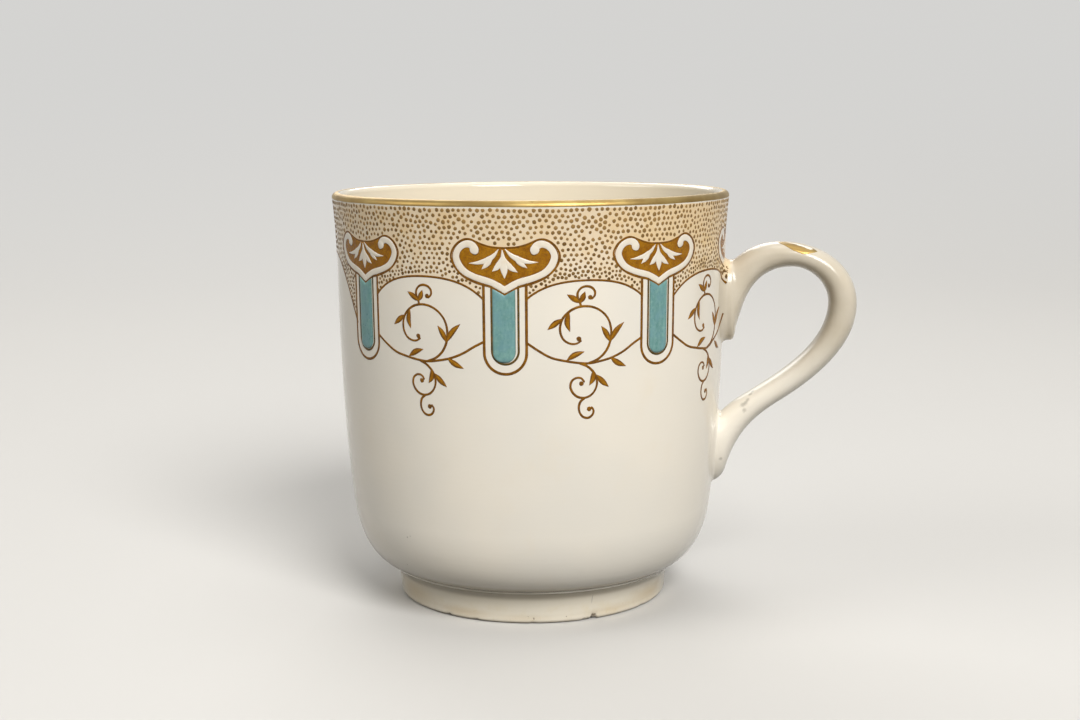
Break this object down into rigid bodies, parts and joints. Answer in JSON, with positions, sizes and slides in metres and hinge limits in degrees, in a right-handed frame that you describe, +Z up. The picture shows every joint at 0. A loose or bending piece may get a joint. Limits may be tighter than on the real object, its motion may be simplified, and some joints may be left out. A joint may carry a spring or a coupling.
{
  "type": "espresso cup",
  "caption": "Footed china coffee cup with a spurred loop handle, gilt lip line and a printed border with raised turquoise enamel drops, for a small coffee.",
  "frame": {"origin": "centre of the foot ring, on the surface that the cup stands on", "axes": "+Z up along the cup's axis, +X from the axis towards the handle, +Y completing a right-handed frame"},
  "size_m": [0.0846, 0.0642, 0.066],
  "materials": {
    "glazed_china": "gloss cream-white glaze over bone china, with a few pits and stains",
    "gilding": "burnished fired gold, a little rubbed",
    "turquoise_enamel": "raised soft-gloss enamel, brushed by hand",
    "brown_print": "ochre-brown printed border, tinted by hand"
  },
  "bodies": {
    "root": {"cup_body": "glazed_china", "foot_ring": "glazed_china", "foot_slip_joint": "glazed_china", "handle": "glazed_china", "upper_slip_joint": "glazed_china", "lower_slip_joint": "glazed_china", "gilt_rim_line": "gilding", "handle_gilt_dash": "gilding", "enamel_drop_1": "turquoise_enamel", "enamel_drop_2": "turquoise_enamel", "enamel_drop_3": "turquoise_enamel", "enamel_drop_4": "turquoise_enamel", "enamel_drop_5": "turquoise_enamel", "enamel_drop_6": "turquoise_enamel"}
  },
  "joints": []
}
